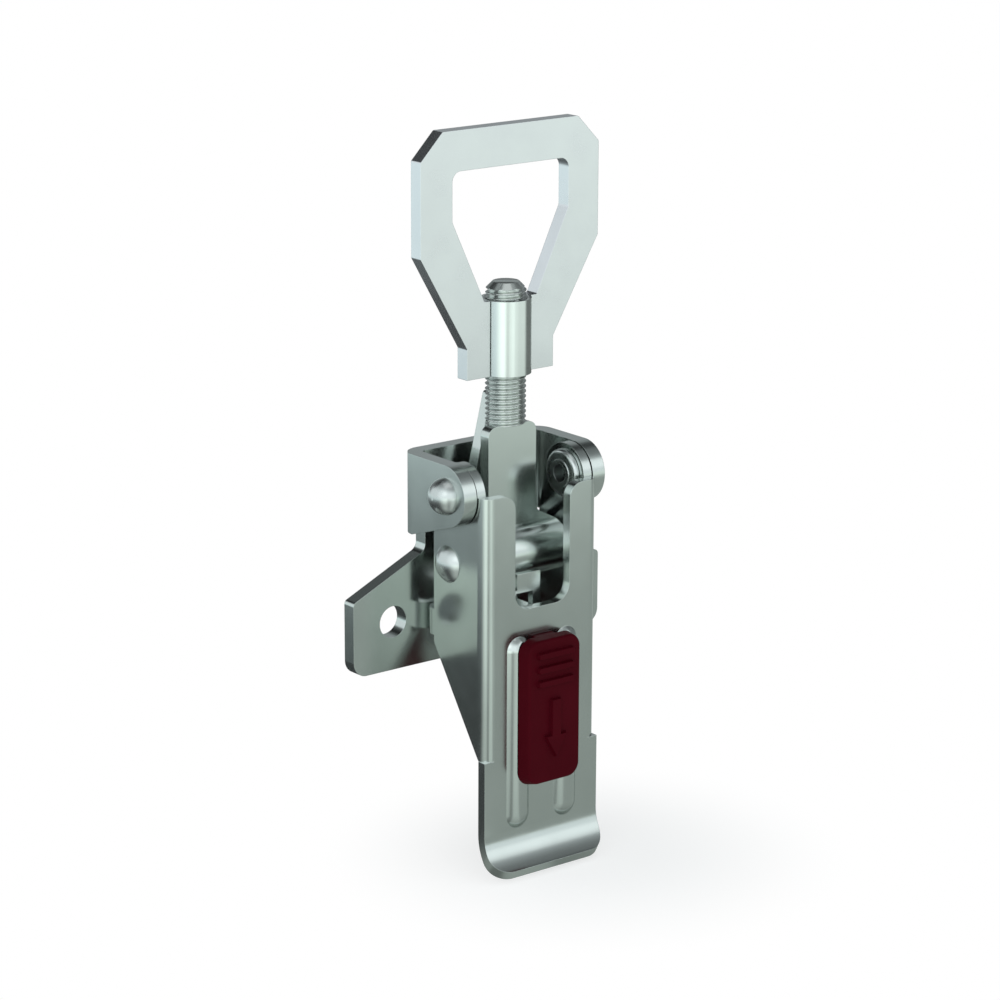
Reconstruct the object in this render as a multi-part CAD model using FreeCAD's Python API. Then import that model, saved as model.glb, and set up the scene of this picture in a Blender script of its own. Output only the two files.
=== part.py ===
import FreeCAD, Part
import math
import os

from FreeCAD import Vector

# Over centre toggle latch in stainless sheet, with a sprung slide lock in its lever.
# Millimetres. X is across the latch, +Y points back into the mounting wall and +Z is the pull direction.
# The origin lies on the back face of the base bracket, midway between its two mounting holes.

# Small lengths for cutting past a face and for telling edges apart
overrun = 1.0
tiny = 1e-4

# Base bracket, a folded sheet with two wings and two ears
base_sheet = 3.0
base_bend = 1.0
wing_half_width = 30.8
wing_bottom = -9.8
wing_edge_top = 5.3
neck_height = 13.2
ear_radius = 6.15
ear_root_height = 17.3
wing_corner = 3.0
wing_shoulder_corner = 1.0
neck_corner = 2.0
mount_hole_radius = 3.2
mount_hole_spacing = 42.6

# Where the two pivot axes lie, closed: the pull line runs in front of the wall, the pivot further out
pivot_standoff = 14.6
over_centre = 3.4
pivot_height = 27.25
pin_drop = 14.85

# Lever, a channel folded from one sheet, with a flat lip handle
lever_width = 28.3
lever_sheet = 2.0
lever_bend = 0.5
lever_ear_radius = 6.0
web_offset = 8.4
prong_rise = 0.35
prong_corner = 3.0
slot_half_width = 6.75
slot_bottom_drop = 8.2
slot_corner = 3.5
flange_back_offset = 7.8
flange_high = 17.6
flange_low = -4.5
flange_end = -25.4
flange_low_corner = 1.5
flange_high_corner = 2.0
stop_tab_low = -3.1
stop_tab_high = 2.2
stop_tab_bend = 1.0
stop_tab_reach = 5.6
stop_gap = 0.3
lip_start = -40.5
lip_bend = 7.9
lip_sweep = 61.5
lip_corner = 4.6
bead_centre = 5.9
bead_half_width = 2.8
bead_height = 1.4
bead_bottom = -40.3
bead_top = -1.1
bead_wall = 1.1

# Rivets and the draw pin
ear_clearance = 0.25
rivet_radius = 2.5
rivet_head_radius = 3.7
rivet_head_height = 3.2
rivet_tail_radius = 2.8
rivet_tail_height = 0.15
rivet_bore_radius = 1.8
rivet_bore_depth = 5.0
washer_radius = 4.75
washer_thickness = 1.0
washer_edge = 0.8
washer_clearance = 0.1
turning_clearance = 0.05
pin_radius = 2.95
pin_end_radius = 2.25
pin_head_radius = 3.7
pin_head_height = 1.9

# Eye strap, one strip rolled round the draw pin
strap_sheet = 2.5
strap_end_clearance = 0.25
strap_leg_half_width = 5.9
strap_front_leg_offset = 1.0
strap_front_leg_rise = 26.2
strap_shoulder = 1.9
strap_neck_bend = 1.5
strap_ramp_rise = 8.1
strap_full_width_rise = 5.1
strap_ramp_low_corner = 2.2
strap_ramp_high_corner = 2.5
tongue_taper_rise = 12.7
tongue_tip_rise = 31.7
tongue_tip_half_width = 1.2
tongue_tip_corner = 0.7

# Threaded stud and the loop that screws on it
stud_radius = 4.0
stud_top_rise = 54.2
stud_chamfer = 1.4
stud_tang_rise = 8.4
sleeve_radius = 5.0
sleeve_bottom_rise = 36.2
sleeve_length = 14.8
sleeve_chamfer = 0.35
weld_gap = 0.02
loop_sheet = 3.0
loop_corner = 0.5
loop_half_width = 21.6
loop_height = 48.5
loop_corner_across = 5.2
loop_corner_down = 5.3
loop_straight = 18.4
loop_neck_half_width = 10.56
loop_neck_height = 6.1
loop_taper_height = 18.7
opening_half_width = 14.13
opening_top_margin = 7.8
opening_straight = 9.6
opening_bottom_half_width = 6.4
opening_corner = 2.0
opening_side_corner = 1.0
opening_bottom_corner = 0.4

# Slide lock: button outside the web, carrier and lock plate inside, spring in the web's slot
button_half_width = 7.0
button_face_half_width = 6.3
button_top = -1.35
button_top_draft = 0.1
button_bottom = -31.3
button_depth = 2.6
button_corner = 3.0
button_edge = 0.6
button_seat_gap = 0.05
mark_height = 0.75
mark_root = 0.2
mark_draft = 0.28
bar_count = 3
bar_drop = 2.25
bar_pitch = 2.85
bar_width = 1.65
bar_half_length = 4.6
bar_corner = 0.65
arrow_drop = 12.15
arrow_shaft_length = 7.3
arrow_head_length = 5.1
arrow_shaft_half_width = 1.3
arrow_head_half_width = 2.9
slide_travel = 8.0
neck_half_width = 2.4
neck_clearance = 0.1
neck_top = -1.5
neck_length = 12.0
slide_slot_bottom = -29.6
carrier_thickness = 3.0
carrier_top = -0.5
carrier_bottom = -24.4
carrier_side_clearance = 0.25
carrier_web_gap = 0.1
carrier_corner = 0.8
spring_clearance = 0.3
lock_sheet = 1.5
lock_half_width = 3.6
lock_top = 9.6
lock_notch_width = 1.4
lock_notch_depth = 3.2
lock_bottom = -16.0
lock_corner = 1.0
window_left = -2.4
window_right = 1.75
window_low = 2.9
window_high = 5.7
window_tab_length = 3.2
hook_leg_low = -5.9
hook_leg_high = -2.4
hook_reach = 10.8
hook_tip_length = 1.7
hook_tip_high = 0.7
hook_ramp = 2.3
hook_root_corner = 0.5
screw_radius = 1.1
screw_head_radius = 1.9
screw_head_height = 1.4
screw_recess_width = 0.6
screw_recess_half_length = 1.3
screw_recess_depth = 0.8
screw_depth = 6.6
screw_spacing = 6.0
screw_edge = 3.0
spring_wire = 0.5
spring_outer_radius = 2.2
spring_turns = 9
spring_end_gap = 0.1

# Catch plate on the base, which the hooks of the lock plate engage
catch_sheet = 2.0
catch_bend = 0.5
catch_half_width = 4.4
catch_bottom = -8.9
catch_top = 3.1
catch_reach = 7.0
catch_lip_low = -1.1

# Places that follow from the sizes above
pivot_y = -pivot_standoff
pivot_z = pivot_height
pin_y = pivot_y + over_centre
pin_z = pivot_z - pin_drop
base_front = -base_sheet
web_front = pivot_y - web_offset
web_back = web_front + lever_sheet
lever_half = lever_width / 2
lever_inner = lever_half - lever_sheet
ear_inner = lever_half + ear_clearance
ear_outer = ear_inner + base_sheet
neck_half = ear_outer - base_sheet - base_bend
button_back = web_front - bead_height - button_seat_gap
button_face = button_back - button_depth
carrier_front = web_back + carrier_web_gap
carrier_back = carrier_front + carrier_thickness
lock_back = carrier_back + lock_sheet


def on_x(x):
    """Places outline points (y, z) on a plane across X."""
    return lambda u, v: Vector(x, u, v)


def on_y(y):
    """Places outline points (x, z) on a plane across Y."""
    return lambda u, v: Vector(u, y, v)


def on_z(z):
    """Places outline points (x, y) on a plane across Z."""
    return lambda u, v: Vector(u, v, z)


def rounded_wire(corners, place):
    """Closed wire through corners (u, v, radius), each corner rounded by an arc of its radius."""
    joints = []
    count = len(corners)
    for i in range(count):
        u, v, radius = corners[i]
        before, after = corners[i - 1], corners[(i + 1) % count]
        to_before = Vector(before[0] - u, before[1] - v, 0).normalize()
        to_after = Vector(after[0] - u, after[1] - v, 0).normalize()
        here = Vector(u, v, 0)
        if radius == 0:
            joints.append((here, None, here))
            continue
        half_angle = to_before.getAngle(to_after) / 2
        run = radius / math.tan(half_angle)
        inward = (to_before + to_after).normalize()
        middle = here + inward * (radius / math.sin(half_angle) - radius)
        joints.append((here + to_before * run, middle, here + to_after * run))
    edges = []
    for i in range(count):
        start, middle, end = joints[i]
        if middle is not None:
            arc = Part.Arc(place(start.x, start.y), place(middle.x, middle.y), place(end.x, end.y))
            edges.append(arc.toShape())
        following = joints[(i + 1) % count][0]
        if (following - end).Length > tiny:
            edges.append(Part.LineSegment(place(end.x, end.y), place(following.x, following.y)).toShape())
    return Part.Wire(edges)


def slab(corners, place, travel):
    """Solid swept from a rounded outline along the vector travel."""
    return Part.Face(rounded_wire(corners, place)).extrude(travel)


def symmetric(half):
    """Full outline from its right half, listed from bottom to top."""
    return list(half) + [(-u, v, radius) for u, v, radius in reversed(half)]


def block(x0, x1, y0, y1, z0, z1):
    """Box between two opposite corners."""
    return Part.makeBox(x1 - x0, y1 - y0, z1 - z0, Vector(x0, y0, z0))


def pin_along_x(x0, x1, radius, y, z):
    """Cylinder along X."""
    return Part.makeCylinder(radius, x1 - x0, Vector(x0, y, z), Vector(1, 0, 0))


def pin_along_y(y0, y1, radius, x, z):
    """Cylinder along Y."""
    return Part.makeCylinder(radius, y1 - y0, Vector(x, y0, z), Vector(0, 1, 0))


def mirrored(shape):
    """The same shape on the other side of the mid-plane."""
    return shape.mirror(Vector(0, 0, 0), Vector(1, 0, 0))


def dome_radius(foot_radius, height):
    """Radius of the ball of which a dome of this foot and height is a cap."""
    return (foot_radius**2 + height**2) / (2 * height)


def tangent_point(centre, radius, point, side):
    """Where a line from point touches a circle, on the side given by the sign."""
    dy, dz = point[0] - centre[0], point[1] - centre[1]
    distance = math.hypot(dy, dz)
    angle = math.atan2(dz, dy) + side * math.acos(radius / distance)
    return centre[0] + radius * math.cos(angle), centre[1] + radius * math.sin(angle)


def channel(half_width, sheet, bend, closed_face, depth, z0, z1):
    """Folded channel along Z: its web's outer face at y = closed_face, its legs as deep as depth says."""
    outer = sheet + bend
    far = closed_face + depth
    inner_face = closed_face + math.copysign(sheet, depth)
    section = [
        (half_width, far, 0),
        (half_width, closed_face, outer),
        (-half_width, closed_face, outer),
        (-half_width, far, 0),
        (-half_width + sheet, far, 0),
        (-half_width + sheet, inner_face, bend),
        (half_width - sheet, inner_face, bend),
        (half_width - sheet, far, 0),
    ]
    return slab(section, on_z(z0), Vector(0, 0, z1 - z0))


def make_base_bracket():
    """Wings and neck cut from sheet, with two ears folded forward to carry the pivot rivets."""
    ear_top = pivot_z + ear_radius
    depth = pivot_y - ear_radius - base_sheet
    ears = channel(ear_outer, base_sheet, base_bend, 0, depth, wing_bottom, ear_top)
    root = (base_front - base_bend, ear_root_height)
    touch = tangent_point((pivot_y, pivot_z), ear_radius, root, -1)
    side = slab(
        [(0, ear_root_height, 0), (0, ear_top, 0), (pivot_y, ear_top, 0), (*touch, 0), (*root, 0)],
        on_x(-ear_outer),
        Vector(2 * ear_outer, 0, 0),
    )
    side = side.fuse(pin_along_x(-ear_outer, ear_outer, ear_radius, pivot_y, pivot_z))
    ears = ears.common(side)
    wings = slab(
        symmetric(
            [
                (wing_half_width, wing_bottom, wing_corner),
                (wing_half_width, wing_edge_top, wing_shoulder_corner),
                (neck_half, neck_height, neck_corner),
                (neck_half, ear_root_height + base_sheet, 0),
            ]
        ),
        on_y(base_front),
        Vector(0, base_sheet, 0),
    )
    bracket = ears.fuse(wings).removeSplitter()
    for side_sign in (-1, 1):
        hole_x = side_sign * mount_hole_spacing / 2
        bracket = bracket.cut(pin_along_y(-2 * base_sheet, base_sheet, mount_hole_radius, hole_x, 0))
    return bracket.cut(pin_along_x(-ear_outer, ear_outer, rivet_radius, pivot_y, pivot_z))


def make_catch_plate():
    """Hooked plate welded to the bracket's front: a flange up the wall, a shelf and a downturned lip."""
    lip_front = base_front - catch_reach
    outer = catch_sheet + catch_bend
    section = [
        (base_front, catch_bottom, 0),
        (base_front, catch_top, outer),
        (lip_front, catch_top, outer),
        (lip_front, catch_lip_low, 0),
        (lip_front + catch_sheet, catch_lip_low, 0),
        (lip_front + catch_sheet, catch_top - catch_sheet, catch_bend),
        (base_front - catch_sheet, catch_top - catch_sheet, catch_bend),
        (base_front - catch_sheet, catch_bottom, 0),
    ]
    return slab(section, on_x(-catch_half_width), Vector(2 * catch_half_width, 0, 0))


def make_pivot_rivet():
    """Domed rivet on the right: head outside the bracket's ear, tubular tail rolled over the washer."""
    tail_start = lever_inner - washer_clearance - washer_thickness
    tail_end = tail_start - rivet_tail_height
    half_profile = [
        Vector(tail_end, 0, rivet_bore_radius),
        Vector(tail_end, 0, rivet_tail_radius - rivet_tail_height / 2),
        Vector(tail_end + rivet_tail_height / 2, 0, rivet_tail_radius),
        Vector(tail_start, 0, rivet_tail_radius),
        Vector(tail_start, 0, rivet_radius),
        Vector(ear_outer, 0, rivet_radius),
        Vector(ear_outer, 0, rivet_head_radius),
    ]
    crown = Vector(ear_outer + rivet_head_height, 0, 0)
    ball = dome_radius(rivet_head_radius, rivet_head_height)
    ball_centre = ear_outer + rivet_head_height - ball
    half_way = math.atan2(rivet_head_radius, ball - rivet_head_height) / 2
    bulge = Vector(ball_centre + ball * math.cos(half_way), 0, ball * math.sin(half_way))
    bore_end = tail_end + rivet_bore_depth
    edges = [Part.LineSegment(a, b).toShape() for a, b in zip(half_profile, half_profile[1:])]
    edges.append(Part.Arc(half_profile[-1], bulge, crown).toShape())
    edges.append(Part.LineSegment(crown, Vector(bore_end, 0, 0)).toShape())
    edges.append(Part.LineSegment(Vector(bore_end, 0, 0), Vector(bore_end, 0, rivet_bore_radius)).toShape())
    edges.append(Part.LineSegment(Vector(bore_end, 0, rivet_bore_radius), half_profile[0]).toShape())
    rivet = Part.Face(Part.Wire(edges)).revolve(Vector(0, 0, 0), Vector(1, 0, 0), 360)
    rivet.translate(Vector(0, pivot_y, pivot_z))
    return rivet


def make_pivot_washer():
    """Washer on the right, its rim rounded, between the lever's ear and the rivet's rolled tail."""
    outer_face = lever_inner - washer_clearance
    inner_face = outer_face - washer_thickness
    disc = pin_along_x(inner_face, outer_face, washer_radius, pivot_y, pivot_z)
    rim = [edge for edge in disc.Edges if edge.BoundBox.XMax < inner_face + tiny]
    disc = disc.makeFillet(washer_edge, rim)
    return disc.cut(pin_along_x(inner_face, outer_face, rivet_radius, pivot_y, pivot_z))


def lever_side_outline():
    """Side view of the lever's channel: web strip, deep flanges and the slant up to the flat handle."""
    flange_back = pivot_y + flange_back_offset
    high = (flange_back, flange_high)
    touch = tangent_point((pivot_y, pivot_z), lever_ear_radius, high, 1)
    prong_top = pivot_z + prong_rise
    return [
        (web_front, flange_end, 0),
        (web_back, flange_end, 0),
        (flange_back, flange_low, flange_low_corner),
        (*high, flange_high_corner),
        (*touch, 0),
        (pivot_y, prong_top, 0),
        (web_front, prong_top, 0),
    ]


def make_stop_tab():
    """Tab folded inward from the right flange's back edge. It meets the bracket when the lever is shut."""
    flange_back = pivot_y + flange_back_offset
    tab_back = base_front - stop_gap
    outer = stop_tab_bend + lever_sheet
    tab_end = lever_half - stop_tab_reach
    start = flange_back - lever_sheet
    section = [
        (lever_half, start, 0),
        (lever_half, tab_back, outer),
        (tab_end, tab_back, 0),
        (tab_end, tab_back - lever_sheet, 0),
        (lever_inner, tab_back - lever_sheet, stop_tab_bend),
        (lever_inner, start, 0),
    ]
    return slab(section, on_z(stop_tab_low), Vector(0, 0, stop_tab_high - stop_tab_low))


def make_handle():
    """Flat handle below the channel, its lower end curled forward in an arc, the end's corners rounded."""
    outer = lip_bend + lever_sheet
    curl_y = web_back - outer
    sweep = math.radians(lip_sweep)

    def on_curl(radius, angle):
        return Vector(
            -lever_half, curl_y + radius * math.cos(angle), lip_start - radius * math.sin(angle)
        )

    top_back = Vector(-lever_half, web_back, flange_end)
    top_front = Vector(-lever_half, web_front, flange_end)
    edges = [
        Part.LineSegment(top_back, on_curl(outer, 0)).toShape(),
        Part.Arc(on_curl(outer, 0), on_curl(outer, sweep / 2), on_curl(outer, sweep)).toShape(),
        Part.LineSegment(on_curl(outer, sweep), on_curl(lip_bend, sweep)).toShape(),
        Part.Arc(on_curl(lip_bend, sweep), on_curl(lip_bend, sweep / 2), on_curl(lip_bend, 0)).toShape(),
        Part.LineSegment(on_curl(lip_bend, 0), top_front).toShape(),
        Part.LineSegment(top_front, top_back).toShape(),
    ]
    handle = Part.Face(Part.Wire(edges)).extrude(Vector(lever_width, 0, 0))

    reach = outer
    rounded_end = slab(
        symmetric([(lever_half, 0, lip_corner), (lever_half, reach, 0)]),
        on_z(-reach),
        Vector(0, 0, 2 * reach),
    )
    rounded_end.rotate(Vector(0, 0, 0), Vector(1, 0, 0), 90 - lip_sweep)
    rounded_end.translate(on_curl((lip_bend + outer) / 2, sweep) + Vector(lever_half, 0, 0))
    straight = block(-lever_half, lever_half, web_front, web_back, lip_start, flange_end)
    return handle.common(rounded_end).fuse(straight)


def bead_tool(shrink):
    """Rod with ball ends, of which the bead's front is a shallow slice, smaller all round by shrink."""
    ball = dome_radius(bead_half_width, bead_height)
    radius = ball - shrink
    y = web_front - bead_height + ball
    low, high = bead_bottom + bead_half_width, bead_top - bead_half_width
    diagonal = radius * math.sqrt(0.5)
    lower_pole, upper_pole = Vector(0, 0, low - radius), Vector(0, 0, high + radius)
    lower_side, upper_side = Vector(radius, 0, low), Vector(radius, 0, high)
    edges = [
        Part.Arc(lower_pole, Vector(diagonal, 0, low - diagonal), lower_side).toShape(),
        Part.LineSegment(lower_side, upper_side).toShape(),
        Part.Arc(upper_side, Vector(diagonal, 0, high + diagonal), upper_pole).toShape(),
        Part.LineSegment(upper_pole, lower_pole).toShape(),
    ]
    rod = Part.Face(Part.Wire(edges)).revolve(Vector(0, 0, 0), Vector(0, 0, 1), 360)
    rod.rotate(Vector(0, 0, 0), Vector(0, 0, 1), 90)
    rod.translate(Vector(bead_centre, y, 0))
    return rod


def make_lever():
    """Channel, handle, beads, stop tabs, the open slot for the strap and the slide's slot."""
    prong_top = pivot_z + prong_rise
    depth = pivot_y + flange_back_offset - web_front
    ear_top = pivot_z + lever_ear_radius
    body = channel(lever_half, lever_sheet, lever_bend, web_front, depth, flange_end, ear_top)
    side = slab(lever_side_outline(), on_x(-lever_half), Vector(lever_width, 0, 0))
    side = side.fuse(pin_along_x(-lever_half, lever_half, lever_ear_radius, pivot_y, pivot_z))
    lever = body.common(side).fuse(make_handle())
    middle = web_front + lever_sheet / 2
    front = block(0, lever_half, web_front - bead_height - overrun, middle, lip_start, pin_z)
    ridge = bead_tool(0).common(front)
    hollow = bead_tool(bead_wall)
    tab = make_stop_tab()
    lever = lever.fuse([ridge, mirrored(ridge), tab, mirrored(tab)])
    slot_bottom = pin_z - slot_bottom_drop
    prong_end = slot_half_width + prong_corner
    strap_slot = slab(
        symmetric(
            [
                (slot_half_width, slot_bottom, slot_corner),
                (slot_half_width, prong_top, prong_corner),
                (prong_end, prong_top, 0),
                (prong_end, prong_top + overrun, 0),
            ]
        ),
        on_y(web_front - overrun),
        Vector(0, lever_sheet + 2 * overrun, 0),
    )
    lever = lever.cut([hollow, mirrored(hollow), strap_slot])
    slide_slot = block(
        -neck_half_width - neck_clearance,
        neck_half_width + neck_clearance,
        web_front - overrun,
        web_back + overrun,
        slide_slot_bottom,
        neck_top + neck_clearance,
    )
    pivot_hole = pin_along_x(-lever_half, lever_half, rivet_radius + turning_clearance, pivot_y, pivot_z)
    pin_hole = pin_along_x(-lever_half, lever_half, pin_end_radius, pin_y, pin_z)
    return lever.cut([slide_slot, pivot_hole, pin_hole]).removeSplitter()


def make_draw_pin():
    """Shouldered pin across the lever, both ends riveted over into low domes."""
    body = pin_along_x(-lever_inner, lever_inner, pin_radius, pin_y, pin_z)
    ends = pin_along_x(-lever_half, lever_half, pin_end_radius, pin_y, pin_z)
    crown = lever_half + pin_head_height
    radius = dome_radius(pin_head_radius, pin_head_height)
    ball = Part.makeSphere(radius, Vector(crown - radius, pin_y, pin_z))
    head = ball.common(pin_along_x(lever_half, crown, pin_head_radius + overrun, pin_y, pin_z))
    return body.fuse([ends, head, mirrored(head)]).removeSplitter()


def make_eye_strap():
    """Strip rolled round the draw pin: a wide eye, a front leg and a tapered tongue behind the stud."""
    half_sheet = strap_sheet / 2
    eye_inner = pin_radius + turning_clearance
    eye_middle = eye_inner + half_sheet
    neck = strap_neck_bend + half_sheet
    bend_y = -strap_front_leg_offset - neck
    bend_z = math.sqrt((eye_middle + neck) ** 2 - bend_y**2)
    front_angle = math.atan2(bend_z, bend_y)

    def at(radius, angle, centre=(0, 0)):
        return Vector(
            0,
            pin_y + centre[0] + radius * math.cos(angle),
            pin_z + centre[1] + radius * math.sin(angle),
        )

    def arc(radius, start, end, centre=(0, 0)):
        return Part.Arc(
            at(radius, start, centre), at(radius, (start + end) / 2, centre), at(radius, end, centre)
        ).toShape()

    def line(a, b):
        return Part.LineSegment(a, b).toShape()

    eye_outer = eye_inner + strap_sheet
    top = pin_z + strap_front_leg_rise
    tip = pin_z + tongue_tip_rise
    front_out = pin_y - strap_front_leg_offset - half_sheet
    front_in = front_out + strap_sheet
    full_turn = 2 * math.pi
    bend = (bend_y, bend_z)
    bend_start, bend_end = 0.0, front_angle - math.pi
    wrap_start, wrap_end = front_angle, full_turn
    edges = [
        line(Vector(0, front_in, top), Vector(0, front_out, top)),
        line(Vector(0, front_out, top), at(strap_neck_bend, bend_start, bend)),
        arc(strap_neck_bend, bend_start, bend_end, bend),
        arc(eye_outer, wrap_start, wrap_end),
        line(at(eye_outer, 0), Vector(0, pin_y + eye_outer, tip)),
        line(Vector(0, pin_y + eye_outer, tip), Vector(0, pin_y + eye_inner, tip)),
        line(Vector(0, pin_y + eye_inner, tip), at(eye_inner, 0)),
        arc(eye_inner, wrap_end, wrap_start),
        arc(strap_neck_bend + strap_sheet, bend_end, bend_start, bend),
        line(at(strap_neck_bend + strap_sheet, bend_start, bend), Vector(0, front_in, top)),
    ]
    eye_half = lever_inner - strap_end_clearance
    ribbon = Part.Face(Part.Wire(edges)).extrude(Vector(eye_half, 0, 0))
    ribbon = ribbon.fuse(mirrored(ribbon)).removeSplitter()

    shared = [
        (eye_half, pin_z - eye_outer - overrun, 0),
        (eye_half, pin_z + strap_full_width_rise, strap_ramp_low_corner),
        (strap_leg_half_width, pin_z + strap_ramp_rise, strap_ramp_high_corner),
    ]
    front_half = shared + [(strap_leg_half_width, top, strap_shoulder)]
    taper = pin_z + tongue_taper_rise
    back_half = shared + [
        (strap_leg_half_width, taper, 0),
        (tongue_tip_half_width, tip, tongue_tip_corner),
    ]
    split_y = pin_y + (eye_inner + front_in - pin_y) / 2
    reach = Vector(0, 4 * eye_outer, 0)
    front = slab(symmetric(front_half), on_y(split_y), -reach)
    back = slab(symmetric(back_half), on_y(split_y), reach)
    return ribbon.common(front.fuse(back)).removeSplitter()


def make_threaded_stud():
    """Stud whose lower end is milled to a tang between the strap's legs. Its thread is left plain."""
    front_flat = pin_y - strap_front_leg_offset + strap_sheet / 2
    back_flat = pin_y + pin_radius + turning_clearance
    low = pin_z + stud_tang_rise
    top = pin_z + stud_top_rise
    leg_top = pin_z + strap_front_leg_rise
    tongue_top = pin_z + tongue_tip_rise
    stud = Part.makeCylinder(stud_radius, top - low, Vector(0, pin_y, low))
    wide = stud_radius + overrun
    cone_low = top - stud_chamfer - overrun
    cone = Part.makeCone(wide, 0, wide, Vector(0, pin_y, cone_low))
    below_cone = Part.makeCylinder(wide, cone_low - low, Vector(0, pin_y, low))
    stud = stud.common(below_cone.fuse(cone))
    reach = 2 * stud_radius
    front_waste = block(-reach, reach, pin_y - reach, front_flat, low - overrun, leg_top)
    back_waste = block(-reach, reach, back_flat, pin_y + reach, low - overrun, tongue_top)
    return stud.cut([front_waste, back_waste]).removeSplitter()


def make_threaded_sleeve():
    """Sleeve welded into the loop, screwed on the stud."""
    low = pin_z + sleeve_bottom_rise
    top = low + sleeve_length
    bore = stud_radius + turning_clearance
    profile = [
        (bore + sleeve_chamfer, low, 0),
        (sleeve_radius, low, 0),
        (sleeve_radius, top, 0),
        (bore + sleeve_chamfer, top, 0),
        (bore, top - sleeve_chamfer, 0),
        (bore, low + sleeve_chamfer, 0),
    ]
    ring = Part.Face(rounded_wire(profile, on_y(0))).revolve(Vector(0, 0, 0), Vector(0, 0, 1), 360)
    ring.translate(Vector(0, pin_y, 0))
    return ring


def make_pull_plate():
    """Flat loop cut from plate, open at the bottom where the sleeve is welded between its two ends."""
    low = pin_z + sleeve_bottom_rise
    top = low + loop_height
    shoulder = low + loop_neck_height + loop_taper_height
    bevel_low = shoulder + loop_straight
    outside = symmetric(
        [
            (loop_neck_half_width, low, 0),
            (loop_neck_half_width, low + loop_neck_height, loop_corner),
            (loop_half_width, shoulder, loop_corner),
            (loop_half_width, bevel_low, loop_corner),
            (loop_half_width - loop_corner_across, bevel_low + loop_corner_down, loop_corner),
        ]
    )
    opening_top = top - opening_top_margin
    inside = symmetric(
        [
            (opening_bottom_half_width, low + sleeve_length, opening_bottom_corner),
            (opening_half_width, opening_top - opening_straight, opening_side_corner),
            (opening_half_width, opening_top, opening_corner),
        ]
    )
    front, back = pin_y - loop_sheet / 2, pin_y + loop_sheet / 2
    plate = slab(outside, on_y(front), Vector(0, loop_sheet, 0))
    opening = slab(inside, on_y(front - overrun), Vector(0, loop_sheet + 2 * overrun, 0))
    seat = sleeve_radius + weld_gap
    slot_top = low + sleeve_length + overrun
    sleeve_slot = block(-seat, seat, front - overrun, back + overrun, low - overrun, slot_top)
    return plate.cut([opening, sleeve_slot]).removeSplitter()


def rounded_rectangle(half_width, low, high, corner):
    """Outline of an upright rounded rectangle centred on the mid-plane."""
    return symmetric([(half_width, low, corner), (half_width, high, corner)])


def raised_mark(outline):
    """Mark with drafted sides, rooted a little below the button's face."""
    foot = rounded_wire(outline, on_y(button_face + mark_root))
    crest = foot.makeOffset2D(-mark_draft, join=2)
    crest.translate(Vector(0, -mark_height - mark_root, 0))
    return Part.makeLoft([foot, crest], True, True)


def make_button_marks():
    """Raised thumb bars, and a raised arrow that points the way the button slides."""
    marks = []
    for i in range(bar_count):
        bar_top = button_top - bar_drop - i * bar_pitch
        marks.append(
            raised_mark(rounded_rectangle(bar_half_length, bar_top - bar_width, bar_top, bar_corner))
        )
    tail = button_top - arrow_drop
    neck = tail - arrow_shaft_length
    point = neck - arrow_head_length
    half_arrow = [
        (arrow_head_half_width, neck, 0),
        (arrow_shaft_half_width, neck, 0),
        (arrow_shaft_half_width, tail, 0),
    ]
    marks.append(raised_mark([(0, point, 0)] + symmetric(half_arrow)))
    return marks


def make_slider_button():
    """Outer moulding with drafted sides and raised marks, and a neck that runs in the web's slot."""
    draft = button_half_width - button_face_half_width
    foot = rounded_wire(
        rounded_rectangle(button_half_width, button_bottom, button_top, button_corner), on_y(button_back)
    )
    face_low, face_high = button_bottom + draft, button_top - button_top_draft
    face = rounded_wire(
        rounded_rectangle(button_face_half_width, face_low, face_high, button_corner - draft / 2),
        on_y(button_face),
    )
    body = Part.makeLoft([foot, face], True, True)
    rim = [e for e in body.Edges if all(abs(v.Y - button_face) < tiny for v in e.Vertexes)]
    body = body.makeFillet(button_edge, rim)
    neck = block(
        -neck_half_width, neck_half_width, button_back, carrier_front, neck_top - neck_length, neck_top
    )
    button = body.fuse([neck] + make_button_marks())
    for z in screw_heights():
        button = button.cut(pin_along_y(lock_back - screw_depth, carrier_front, screw_radius, 0, z))
    return button.removeSplitter()


def screw_heights():
    """Heights of the two screws that hold the slide together, both within the button's neck."""
    upper = neck_top - screw_edge
    return upper, upper - screw_spacing


def make_slider_carrier():
    """Inner moulding that runs on the web's back, grooved round the spring."""
    half = lever_inner - carrier_side_clearance
    section = [
        (half, carrier_front + carrier_corner, 0),
        (half, carrier_back, 0),
        (-half, carrier_back, 0),
        (-half, carrier_front + carrier_corner, 0),
        (-half + carrier_corner, carrier_front, 0),
        (half - carrier_corner, carrier_front, 0),
    ]
    carrier = slab(section, on_z(carrier_bottom), Vector(0, 0, carrier_top - carrier_bottom))
    spring_back = (web_front + web_back) / 2 + spring_outer_radius
    groove = block(
        -neck_half_width - neck_clearance,
        neck_half_width + neck_clearance,
        carrier_front - overrun,
        spring_back + spring_clearance,
        carrier_bottom - overrun,
        neck_top - neck_length,
    )
    carrier = carrier.cut(groove)
    for z in screw_heights():
        hole = pin_along_y(carrier_front - overrun, carrier_back + overrun, screw_radius, 0, z)
        carrier = carrier.cut(hole)
    return carrier


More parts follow.
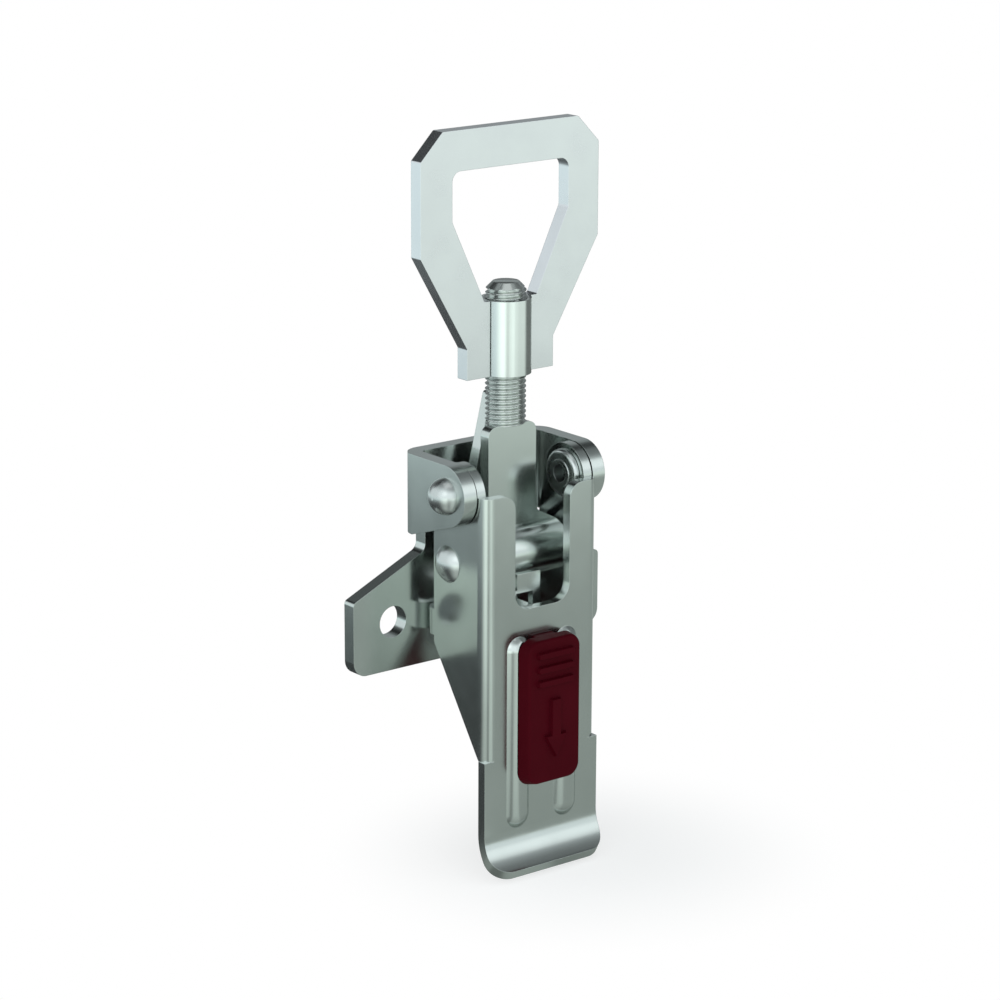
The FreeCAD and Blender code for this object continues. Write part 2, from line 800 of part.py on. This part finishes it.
def make_lock_plate():
    """Sheet plate behind the carrier, with a lanced window, and two legs folded back into hooks."""
    right, left = lock_half_width, -lock_half_width
    notch_floor = lock_top - lock_notch_depth
    plate_corners = [
        (right, lock_bottom, lock_corner),
        (right, lock_top, 0),
        (left + lock_notch_width, lock_top, 0),
        (left + lock_notch_width, notch_floor, 0),
        (left, notch_floor, 0),
        (left, lock_bottom, lock_corner),
    ]
    plate = slab(plate_corners, on_y(carrier_back), Vector(0, lock_sheet, 0))
    past = lock_back + overrun
    window = block(window_left, window_right, carrier_back - overrun, past, window_low, window_high)
    tab_back, tab_low = lock_back + window_tab_length, window_low - lock_sheet
    tab = block(window_left, window_right, carrier_back, tab_back, tab_low, window_low)
    tip_back = lock_back + hook_reach
    tip_front = tip_back - hook_tip_length
    leg_outline = [
        (carrier_back, hook_leg_low, 0),
        (tip_back, hook_leg_low, lock_corner),
        (tip_back, hook_tip_high - hook_ramp, 0),
        (tip_front, hook_tip_high, 0),
        (tip_front, hook_leg_high, hook_root_corner),
        (carrier_back, hook_leg_high, 0),
    ]
    legs = []
    for inner_x in (right - lock_sheet, left):
        legs.append(slab(leg_outline, on_x(inner_x), Vector(lock_sheet, 0, 0)))
    plate = plate.cut(window).fuse([tab] + legs)
    for z in screw_heights():
        plate = plate.cut(pin_along_y(carrier_back - overrun, past, screw_radius, 0, z))
    return plate.removeSplitter()


def make_slider_screw(z):
    """Pan head screw from the back, through lock plate and carrier into the button's neck."""
    shank = pin_along_y(lock_back - screw_depth, lock_back, screw_radius, 0, z)
    head = pin_along_y(lock_back, lock_back + screw_head_height, screw_head_radius, 0, z)
    crown = lock_back + screw_head_height
    rim = [e for e in head.Edges if abs(e.CenterOfMass.y - crown) < tiny]
    head = head.makeFillet(screw_head_height / 2, rim)
    floor = crown - screw_recess_depth
    across, along = screw_recess_width / 2, screw_recess_half_length
    for half_x, half_z in ((across, along), (along, across)):
        head = head.cut(block(-half_x, half_x, floor, crown + overrun, z - half_z, z + half_z))
    return shank.fuse(head).removeSplitter()


def make_lock_spring():
    """Compression spring in the web's slot, between the slot's lower end and the button's neck."""
    low = slide_slot_bottom + spring_end_gap
    high = neck_top - neck_length - spring_end_gap
    coil_radius = spring_outer_radius - spring_wire / 2
    height = high - low - spring_wire
    helix = Part.makeHelix(height / spring_turns, height, coil_radius)
    section = Part.Wire(
        Part.makeCircle(spring_wire / 2, Vector(coil_radius, 0, 0), Vector(0, 1, 0))
    )
    coil = Part.Wire(helix).makePipeShell([section], True, True)
    coil.translate(Vector(0, (web_front + web_back) / 2, low + spring_wire / 2))
    return coil


def main():
    rivet = make_pivot_rivet()
    washer = make_pivot_washer()
    upper, lower = screw_heights()
    nodes = {
        "base_bracket": make_base_bracket(),
        "catch_plate": make_catch_plate(),
        "pivot_rivet_right": rivet,
        "pivot_rivet_left": mirrored(rivet),
        "pivot_washer_right": washer,
        "pivot_washer_left": mirrored(washer),
        "lever": make_lever(),
        "draw_pin": make_draw_pin(),
        "lock_spring": make_lock_spring(),
        "slider_button": make_slider_button(),
        "slider_carrier": make_slider_carrier(),
        "lock_plate": make_lock_plate(),
        "slider_screw_upper": make_slider_screw(upper),
        "slider_screw_lower": make_slider_screw(lower),
        "eye_strap": make_eye_strap(),
        "threaded_stud": make_threaded_stud(),
        "threaded_sleeve": make_threaded_sleeve(),
        "pull_plate": make_pull_plate(),
    }
    os.makedirs("parts", exist_ok=True)
    for name, shape in nodes.items():
        if not shape.isValid() or len(shape.Solids) != 1:
            raise ValueError(f"{name} isn't one valid solid")
        shape.Solids[0].exportStep(f"parts/{name}.step")
        print(name, round(shape.Volume, 2))


main()
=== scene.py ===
"""Looks of the over centre toggle latch: real thread, satin steel and crimson plastic, pale studio."""

import math

import bpy
import numpy as np
from mathutils import Matrix, Vector


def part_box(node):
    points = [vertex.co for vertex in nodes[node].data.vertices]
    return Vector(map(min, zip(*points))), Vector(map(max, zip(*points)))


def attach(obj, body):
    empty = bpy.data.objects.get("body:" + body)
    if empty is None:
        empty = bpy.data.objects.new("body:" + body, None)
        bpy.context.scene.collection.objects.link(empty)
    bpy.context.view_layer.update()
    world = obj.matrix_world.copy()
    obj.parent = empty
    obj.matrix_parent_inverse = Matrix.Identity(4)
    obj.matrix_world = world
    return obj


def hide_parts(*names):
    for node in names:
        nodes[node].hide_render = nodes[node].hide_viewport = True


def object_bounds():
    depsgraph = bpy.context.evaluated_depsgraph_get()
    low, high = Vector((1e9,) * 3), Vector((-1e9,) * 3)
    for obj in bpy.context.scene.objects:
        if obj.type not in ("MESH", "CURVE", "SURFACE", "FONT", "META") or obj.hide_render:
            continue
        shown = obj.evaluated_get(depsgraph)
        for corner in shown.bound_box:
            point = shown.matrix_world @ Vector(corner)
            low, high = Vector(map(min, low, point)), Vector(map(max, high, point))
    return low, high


MM = 0.001

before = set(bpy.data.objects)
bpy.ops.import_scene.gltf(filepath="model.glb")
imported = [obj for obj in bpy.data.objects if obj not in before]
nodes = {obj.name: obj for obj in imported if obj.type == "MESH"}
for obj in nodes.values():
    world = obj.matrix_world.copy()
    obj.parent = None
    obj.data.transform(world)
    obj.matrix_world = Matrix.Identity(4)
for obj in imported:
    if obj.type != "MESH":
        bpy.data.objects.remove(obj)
cad_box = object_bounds()


# Surfaces


def add_object(name, data):
    """Object at the origin, linked to the scene."""
    thing = bpy.data.objects.new(name, data)
    bpy.context.collection.objects.link(thing)
    return thing


def tube_mesh(name, points):
    """Closed mesh of rings of points, from an array shaped (rings, points in a ring, 3).

    A side face joins two neighbours of a ring to the same two of the next ring. Each end ring is closed by
    a fan of triangles to its own middle point.
    """
    rings, count = points.shape[:2]
    left = np.arange(rings * count).reshape(rings, count)
    right = np.roll(left, -1, axis=1)
    sides = np.stack([left[:-1], right[:-1], right[1:], left[1:]], axis=-1).reshape(-1, 4).tolist()
    low, high = rings * count, rings * count + 1
    low_fan = np.stack([right[0], left[0], np.full(count, low)], axis=-1).tolist()
    high_fan = np.stack([left[-1], right[-1], np.full(count, high)], axis=-1).tolist()
    vertices = np.vstack([points.reshape(-1, 3), points[0].mean(axis=0), points[-1].mean(axis=0)])
    mesh = bpy.data.meshes.new(name)
    mesh.from_pydata(vertices.tolist(), [], sides + low_fan + high_fan)
    mesh.update()
    return add_object(name, mesh)


def shade_smooth(piece, angle):
    """Smooth shading that keeps edges sharper than the angle."""
    mesh = piece.data
    mesh.polygons.foreach_set("use_smooth", np.ones(len(mesh.polygons), dtype=bool))
    mesh.set_sharp_from_angle(angle=angle)
    mesh.update()


# Stud: radius, ends and axis are those of the plain stud, the strap and the pin in the frame

stud_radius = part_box("threaded_stud")[1].x
stud_low, stud_top = (corner.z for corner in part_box("threaded_stud"))
stud_y = sum(corner.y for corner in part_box("draw_pin")) / 2
stud_chamfer = 1.4 * MM
thread_pitch = 1.0 * MM
thread_depth = 0.56 * MM
thread_flat = 0.12
leg_top = 38.6 * MM
tongue_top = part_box("eye_strap")[1].z
front_flat, back_flat = stud_y + 0.25 * MM, stud_y + 3.0 * MM
rows_per_pitch = 14
tang_rows = 12
points_per_turn = 96
stud_crease = math.radians(50)


def thread_profile(phase):
    """Depth share of a rounded thread: a triangle wave of the phase, flattened at crest and root."""
    triangle = 1 - np.abs(2 * (phase % 1.0) - 1)
    return np.clip((triangle - thread_flat) / (1 - 2 * thread_flat), 0, 1)


def stud_heights():
    """Heights of the stud's rings: sparse on the tang, dense on the thread, a pair at each flat's ledge."""
    thread_low = leg_top - thread_pitch
    tang = np.linspace(stud_low, thread_low, tang_rows)
    pitches = round((stud_top - thread_low) / thread_pitch)
    thread = np.linspace(thread_low, stud_top, pitches * rows_per_pitch - 1)
    step = 0.001 * MM
    ledges = [leg_top - step, leg_top + step, tongue_top - step, tongue_top + step]
    return np.sort(np.concatenate([tang, thread[1:], ledges]))


def stud_surface():
    """Stud with its thread and its tang.

    At height z and angle a the radius is R minus the depth times the profile of z / pitch - a / turn,
    held below the cone of the end chamfer. Below the strap's legs y is clamped to the tang's flats.
    """
    angle = np.linspace(0, 2 * np.pi, points_per_turn + 1)[:-1]
    z, a = np.meshgrid(stud_heights(), angle, indexing="ij")
    fade = np.clip((z - leg_top) / thread_pitch + 1, 0, 1)
    depth = thread_depth * fade * thread_profile(z / thread_pitch - a / (2 * np.pi))
    cone = stud_radius - stud_chamfer + (stud_top - z)
    radius = np.minimum(stud_radius - depth, cone)
    x, y = radius * np.cos(a), stud_y + radius * np.sin(a)
    y = np.where(z < leg_top, np.maximum(y, front_flat), y)
    y = np.where(z < tongue_top, np.minimum(y, back_flat), y)
    return np.stack([x, y, z], axis=-1)


stud = tube_mesh("stud_with_thread", stud_surface())
shade_smooth(stud, stud_crease)
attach(stud, "draw_bolt")
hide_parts("threaded_stud")


# Shader nodes


def feed(tree, socket, value):
    """Link the socket to another one, or set it to a plain value."""
    if isinstance(value, bpy.types.NodeSocket):
        tree.links.new(value, socket)
    else:
        socket.default_value = value


def add_node(tree, kind, inputs):
    """A node of a kind; its inputs, by name or number, take plain values or other sockets."""
    node = tree.nodes.new(kind)
    for key, value in inputs.items():
        feed(tree, node.inputs[key], value)
    return node


def object_place(tree):
    """The point on the surface, in the object's own coordinates."""
    return tree.nodes.new("ShaderNodeTexCoord").outputs["Object"]


def ramp(tree, value, low, high, start, end, kind="SMOOTHSTEP"):
    """The value from low to high mapped to the range from start to end, and held beyond it."""
    limits = {"From Min": low, "From Max": high, "To Min": start, "To Max": end}
    node = add_node(tree, "ShaderNodeMapRange", {"Value": value, **limits})
    node.interpolation_type = kind
    return node.outputs["Result"]


def vector_math(tree, operation, first, second=None):
    """Vector arithmetic. A length or a dot product is a number, the rest are vectors."""
    node = add_node(tree, "ShaderNodeVectorMath", {0: first})
    node.operation = operation
    if second is not None:
        feed(tree, node.inputs[1], second)
    return node.outputs["Value" if operation in ("LENGTH", "DOT_PRODUCT") else "Vector"]


def number_math(tree, operation, first, second):
    """Arithmetic on two numbers."""
    node = add_node(tree, "ShaderNodeMath", {0: first, 1: second})
    node.operation = operation
    return node.outputs["Value"]


def total(tree, levels):
    """Sum of the levels."""
    result = levels[0]
    for level in levels[1:]:
        result = number_math(tree, "ADD", result, level)
    return result


def cone(tree, way, direction, inner, outer, outside=0.0, inside=1.0):
    """Inside's value within the inner angle of a direction, outside's beyond the outer one, in degrees."""
    towards = vector_math(tree, "DOT_PRODUCT", way, tuple(Vector(direction).normalized()))
    far, near = math.cos(math.radians(outer)), math.cos(math.radians(inner))
    return ramp(tree, towards, far, near, outside, inside)


def side(tree, way, direction, low, high, start=0.0, end=1.0):
    """A ramp over how far the way points in a direction."""
    return ramp(tree, vector_math(tree, "DOT_PRODUCT", way, direction), low, high, start, end)


def emission(tree, colour, strength):
    """Shader that glows in a colour."""
    node = add_node(tree, "ShaderNodeEmission", {"Color": (*colour, 1), "Strength": strength})
    return node.outputs["Emission"]


def mix_shaders(tree, share, first, second):
    """First shader where the share is 0, second where it is 1."""
    return add_node(tree, "ShaderNodeMixShader", {"Fac": share, 1: first, 2: second}).outputs["Shader"]


# Materials

# The noises' middle range, which the tones and the roughness are spread over
noise_low, noise_high = 0.3, 0.7

# Scale and detail of the noise behind a material's tone, its roughness and its fine grain
steel_noises = ((60.0, 3.0), (180.0, 4.0), (5200.0, 2.0))
plastic_noises = ((90.0, 3.0), (400.0, 3.0), (6500.0, 2.0))
steel_grain_depth = 0.006 * MM
plastic_grain_depth = 0.012 * MM
plastic_gloss = 0.03
bevel_samples = 6


def new_material(name):
    """Material with its node tree and its shader."""
    material = bpy.data.materials.new(name)
    material.use_nodes = True
    tree = material.node_tree
    return material, tree, tree.nodes["Principled BSDF"]


def noise(tree, scale, detail):
    """Noise on Object coordinates."""
    inputs = {"Vector": object_place(tree), "Scale": scale, "Detail": detail}
    return add_node(tree, "ShaderNodeTexNoise", inputs).outputs["Fac"]


def tinted(tree, value, dark, light):
    """Colour between dark and light by the value."""
    node = add_node(tree, "ShaderNodeValToRGB", {"Fac": value})
    stops = node.color_ramp.elements
    for stop, colour, position in zip(stops, (dark, light), (noise_low, noise_high)):
        stop.color, stop.position = (*colour, 1), position
    return node.outputs["Color"]


def bumped(tree, value, strength, depth, edge_radius):
    """Bump by the value, over edges that are eased by the edge radius."""
    eased = add_node(tree, "ShaderNodeBevel", {"Radius": edge_radius})
    eased.samples = bevel_samples
    inputs = {"Strength": strength, "Distance": depth, "Height": value, "Normal": eased.outputs["Normal"]}
    return add_node(tree, "ShaderNodeBump", inputs).outputs["Normal"]


def surface(name, dark, light, rough, edge_radius, noises, bump):
    """Material whose tone and roughness drift slowly, under a fine grain given as its strength and depth."""
    material, tree, shader = new_material(name)
    drift, wear, fine = (noise(tree, *settings) for settings in noises)
    roughness = ramp(tree, wear, noise_low, noise_high, *rough, kind="LINEAR")
    feed(tree, shader.inputs["Base Color"], tinted(tree, drift, dark, light))
    feed(tree, shader.inputs["Roughness"], roughness)
    feed(tree, shader.inputs["Normal"], bumped(tree, fine, *bump, edge_radius))
    return material, shader


def steel(name, dark, light, rough, edge_radius, grain=0.25):
    """Stainless steel with a fine tumbled grain."""
    bump = (grain, steel_grain_depth)
    material, shader = surface(name, dark, light, rough, edge_radius, steel_noises, bump)
    shader.inputs["Metallic"].default_value = 1.0
    return material


def plastic(name, dark, light, rough, edge_radius, grain=0.3):
    """Moulded plastic with a fine spark-eroded texture."""
    bump = (grain, plastic_grain_depth)
    material, shader = surface(name, dark, light, rough, edge_radius, plastic_noises, bump)
    shader.inputs["Specular IOR Level"].default_value = plastic_gloss
    return material


sheet_steel = steel("satin_sheet", (0.56, 0.60, 0.58), (0.60, 0.64, 0.62), (0.17, 0.22), 0.11 * MM)
loop_steel = steel("satin_loop", (0.67, 0.68, 0.70), (0.71, 0.72, 0.74), (0.22, 0.28), 0.12 * MM)
turned_steel = steel("turned_steel", (0.62, 0.65, 0.64), (0.67, 0.70, 0.69), (0.14, 0.19), 0.12 * MM, 0.12)
rivet_steel = steel("rivet_steel", (0.55, 0.58, 0.57), (0.60, 0.63, 0.62), (0.24, 0.30), 0.12 * MM)
thread_steel = steel("rolled_thread", (0.60, 0.63, 0.61), (0.66, 0.69, 0.67), (0.18, 0.24), 0.05 * MM, 0.12)
spring_steel = steel("spring_wire", (0.42, 0.44, 0.44), (0.50, 0.52, 0.52), (0.2, 0.3), 0.03 * MM)
crimson = plastic(
    "crimson_plastic", (0.048, 0.0011, 0.0042), (0.058, 0.0017, 0.0056), (0.40, 0.48), 0.12 * MM
)

finishes = {
    sheet_steel: ["base_bracket", "catch_plate", "lever", "eye_strap", "lock_plate"],
    loop_steel: ["pull_plate"],
    turned_steel: ["threaded_sleeve"],
    rivet_steel: [
        "pivot_rivet_right",
        "pivot_rivet_left",
        "pivot_washer_right",
        "pivot_washer_left",
        "draw_pin",
        "slider_screw_upper",
        "slider_screw_lower",
    ],
    spring_steel: ["lock_spring"],
    crimson: ["slider_button", "slider_carrier"],
}
for finish, names in finishes.items():
    for name in names:
        nodes[name].data.materials.clear()
        nodes[name].data.materials.append(finish)
stud.data.materials.append(thread_steel)


# Floor

floor_gap = 1.0 * MM
floor_reach = 1600 * MM
floor_grey, floor_lift = 0.42, 0.66
white = (1.0, 1.0, 1.0)

# The shade under the lip: its middle, and how far from there it starts to fade and is gone
shade_middle = (12 * MM, -22 * MM, 0.0)
shade_inner, shade_outer = 10 * MM, 55 * MM

# Levels that steel mirrors in the floor. A rise is two distances from the latch and the levels there.
front_rises = [(0.0, 0.05, 0.12, 0.41), (0.20, 0.54, 0.0, 0.68)]
back_rises = [(0.11, 0.235, 0.05, 0.26), (0.24, 0.44, 0.0, 0.80)]
right_fall = (0.26, 0.40, 0.0, 0.80)
front_tint, back_tint = (0.89, 1.0, 0.94), (0.85, 1.0, 1.01)
floor_back, floor_right = (-0.643, 0.766, 0.0), (0.940, 0.342, 0.0)

# Glows in the floor's front, and a dip between two of them: the azimuth with the angles at which the glow
# is full and gone, in degrees, and its rise
floor_glows = [
    ((209, 15, 31), (0.02, 0.06, 0.0, 0.18)),
    ((209, 15, 31), (0.11, 0.21, 0.0, 0.54)),
    ((260, 6, 17), (0.02, 0.10, 0.12, 0.30)),
    ((273, 6, 20), (0.10, 0.14, 0.0, 0.14)),
    ((239, 2, 8), (0.12, 0.18, -0.12, 0.0)),
]


def seen_floor(tree, place):
    """Floor as the eye sees it: grey enough to hold the shadow near the latch, plain white further out."""
    grey = (floor_grey, floor_grey, floor_grey, 1)
    diffuse = add_node(tree, "ShaderNodeBsdfDiffuse", {"Color": grey}).outputs["BSDF"]
    lit = {0: diffuse, 1: emission(tree, white, floor_lift)}
    near = add_node(tree, "ShaderNodeAddShader", lit).outputs["Shader"]
    from_middle = vector_math(tree, "LENGTH", vector_math(tree, "SUBTRACT", place, shade_middle))
    whiteness = ramp(tree, from_middle, shade_inner, shade_outer, 0.0, 1.0)
    return mix_shaders(tree, whiteness, near, emission(tree, white, 1.0))


def mirrored_floor(tree, place):
    """Floor as steel mirrors it: brighter with distance, brightest to the left, dim behind and far right."""
    distance = vector_math(tree, "LENGTH", place)
    way = vector_math(tree, "NORMALIZE", place)
    front = [ramp(tree, distance, *rise) for rise in front_rises]
    for (azimuth, inner, outer), rise in floor_glows:
        heading = math.radians(azimuth)
        share = cone(tree, way, (math.cos(heading), math.sin(heading), 0), inner, outer)
        front.append(number_math(tree, "MULTIPLY", share, ramp(tree, distance, *rise)))
    behind = [ramp(tree, distance, *rise) for rise in back_rises]
    rightness = side(tree, way, floor_right, 0.52, 0.76)
    lost = number_math(tree, "MULTIPLY", rightness, ramp(tree, distance, *right_fall))
    kept = number_math(tree, "SUBTRACT", 1.0, lost)
    front_light = emission(tree, front_tint, number_math(tree, "MULTIPLY", kept, total(tree, front)))
    back_light = emission(tree, back_tint, number_math(tree, "MULTIPLY", kept, total(tree, behind)))
    return mix_shaders(tree, side(tree, way, floor_back, 0.02, 0.64), front_light, back_light)


def make_floor():
    """Square floor under the latch, with one look for the eye and another in the steel's mirrors."""
    reach, level = floor_reach, cad_box[0].z - floor_gap
    corners = [(-reach, -reach, level), (reach, -reach, level), (reach, reach, level), (-reach, reach, level)]
    mesh = bpy.data.meshes.new("floor")
    mesh.from_pydata(corners, [], [(0, 1, 2, 3)])
    material, tree, shader = new_material("pale_floor")
    tree.nodes.remove(shader)
    place = vector_math(tree, "MULTIPLY", object_place(tree), (1, 1, 0))
    in_mirror = tree.nodes.new("ShaderNodeLightPath").outputs["Is Glossy Ray"]
    looks = mix_shaders(tree, in_mirror, seen_floor(tree, place), mirrored_floor(tree, place))
    feed(tree, tree.nodes["Material Output"].inputs["Surface"], looks)
    mesh.materials.append(material)
    add_object("floor", mesh)


# World

# A fall is two heights of the way, as sines, and the levels there
front_wall_fall = (0.44, 0.74, 1.06, 0.27)
left_wall_fall = (0.50, 0.88, 1.00, 0.46)
overhead_rise = (0.50, 0.75, 0.0, 0.16)
studio_tint = (0.92, 1.0, 1.02)
wall_left, wall_right, wall_front = (-0.94, 0.10, 0.0), (0.82, 0.57, 0.0), (0.0, -1.0, 0.0)

# Direction, angles in degrees at which the glow is full and gone, and strength
wall_glows = [
    ((-0.72, -0.65, 0.30), 26, 56, 0.30),
    ((0.60, 0.71, 0.38), 8, 28, 0.15),
]
dim_patch = ((-0.22, 0.72, 0.66), 13, 22)
dim_share = 0.12


def wall_level(tree, way):
    """Level of the wall round the latch: pale, dim to the right, overhead and in a patch high behind."""
    height = vector_math(tree, "DOT_PRODUCT", way, (0, 0, 1))
    walls = add_node(
        tree,
        "ShaderNodeMix",
        {
            "Factor": side(tree, way, wall_left, 0.15, 0.62),
            "A": ramp(tree, height, *front_wall_fall),
            "B": ramp(tree, height, *left_wall_fall),
        },
    )
    right = side(tree, way, wall_right, 0.20, 0.38, 1.0, 0.2)
    frontness = side(tree, way, wall_front, -0.2, 0.1)
    levels = [
        number_math(tree, "MULTIPLY", walls.outputs["Result"], right),
        number_math(tree, "MULTIPLY", frontness, ramp(tree, height, *overhead_rise)),
    ]
    for direction, inner, outer, strength in wall_glows:
        levels.append(cone(tree, way, direction, inner, outer, 0.0, strength))
    dim = cone(tree, way, *dim_patch, 1.0, dim_share)
    return number_math(tree, "MULTIPLY", total(tree, levels), dim)


def make_world():
    """White behind the latch, and a grey studio round it."""
    world = bpy.data.worlds.new("studio")
    bpy.context.scene.world = world
    world.use_nodes = True
    tree = world.node_tree
    backdrop = tree.nodes["Background"]
    backdrop.inputs["Color"].default_value = (*white, 1)
    backdrop.inputs["Strength"].default_value = 1.0
    way = tree.nodes.new("ShaderNodeTexCoord").outputs["Generated"]
    light = {"Color": (*studio_tint, 1), "Strength": wall_level(tree, way)}
    studio = add_node(tree, "ShaderNodeBackground", light)
    to_eye = tree.nodes.new("ShaderNodeLightPath").outputs["Is Camera Ray"]
    mix = mix_shaders(tree, to_eye, studio.outputs["Background"], backdrop.outputs["Background"])
    feed(tree, tree.nodes["World Output"].inputs["Surface"], mix)


# Lamps and camera

lamp_target = (0.0, -0.015, 0.02)

# Place, width and height in metres, and power in watts
softboxes = {
    "left_softbox": ((-0.85, -0.62, 0.55), 0.5, 0.5, 0.3),
    "right_softbox": ((0.62, -0.85, 0.45), 0.55, 0.5, 0.25),
    "top_softbox": ((-0.05, -0.15, 1.05), 0.7, 0.7, 0.6),
}

camera_azimuth, camera_elevation, camera_roll = (math.radians(a) for a in (-38.41, 15.36, 0.22))
camera_place = (-0.39795, -0.51153, 0.19850)
camera_lens, camera_sensor = 122.1, 36.0


def make_lamps():
    """Area lamps, each turned to the latch's middle and unseen by the camera."""
    for name, (place, width, height, power) in softboxes.items():
        data = bpy.data.lights.new(name, "AREA")
        data.shape = "RECTANGLE"
        data.size, data.size_y, data.energy = width, height, power
        lamp = add_object(name, data)
        lamp.location = place
        lamp.rotation_euler = (Vector(lamp_target) - Vector(place)).to_track_quat("-Z", "Y").to_euler()
        lamp.visible_camera = False


def make_camera():
    """Camera at the photo's viewing angle: it looks from the latch's front left, a little from above."""
    data = bpy.data.cameras.new("camera")
    data.sensor_width, data.lens = camera_sensor, camera_lens
    data.clip_start, data.clip_end = 0.02, 20.0
    azimuth, elevation, roll = camera_azimuth, camera_elevation, camera_roll
    ahead = math.cos(elevation)
    back = Vector((math.sin(azimuth) * ahead, -math.cos(azimuth) * ahead, math.sin(elevation)))
    level = Vector((math.cos(azimuth), math.sin(azimuth), 0.0))
    upright = back.cross(level)
    right = math.cos(roll) * level + math.sin(roll) * upright
    up = -math.sin(roll) * level + math.cos(roll) * upright
    camera = add_object("camera", data)
    turn = Matrix((right, up, back)).transposed().to_4x4()
    camera.matrix_world = Matrix.Translation(Vector(camera_place)) @ turn
    bpy.context.scene.camera = camera


make_floor()
make_world()
make_lamps()
make_camera()
bpy.context.scene.view_settings.view_transform = "Standard"
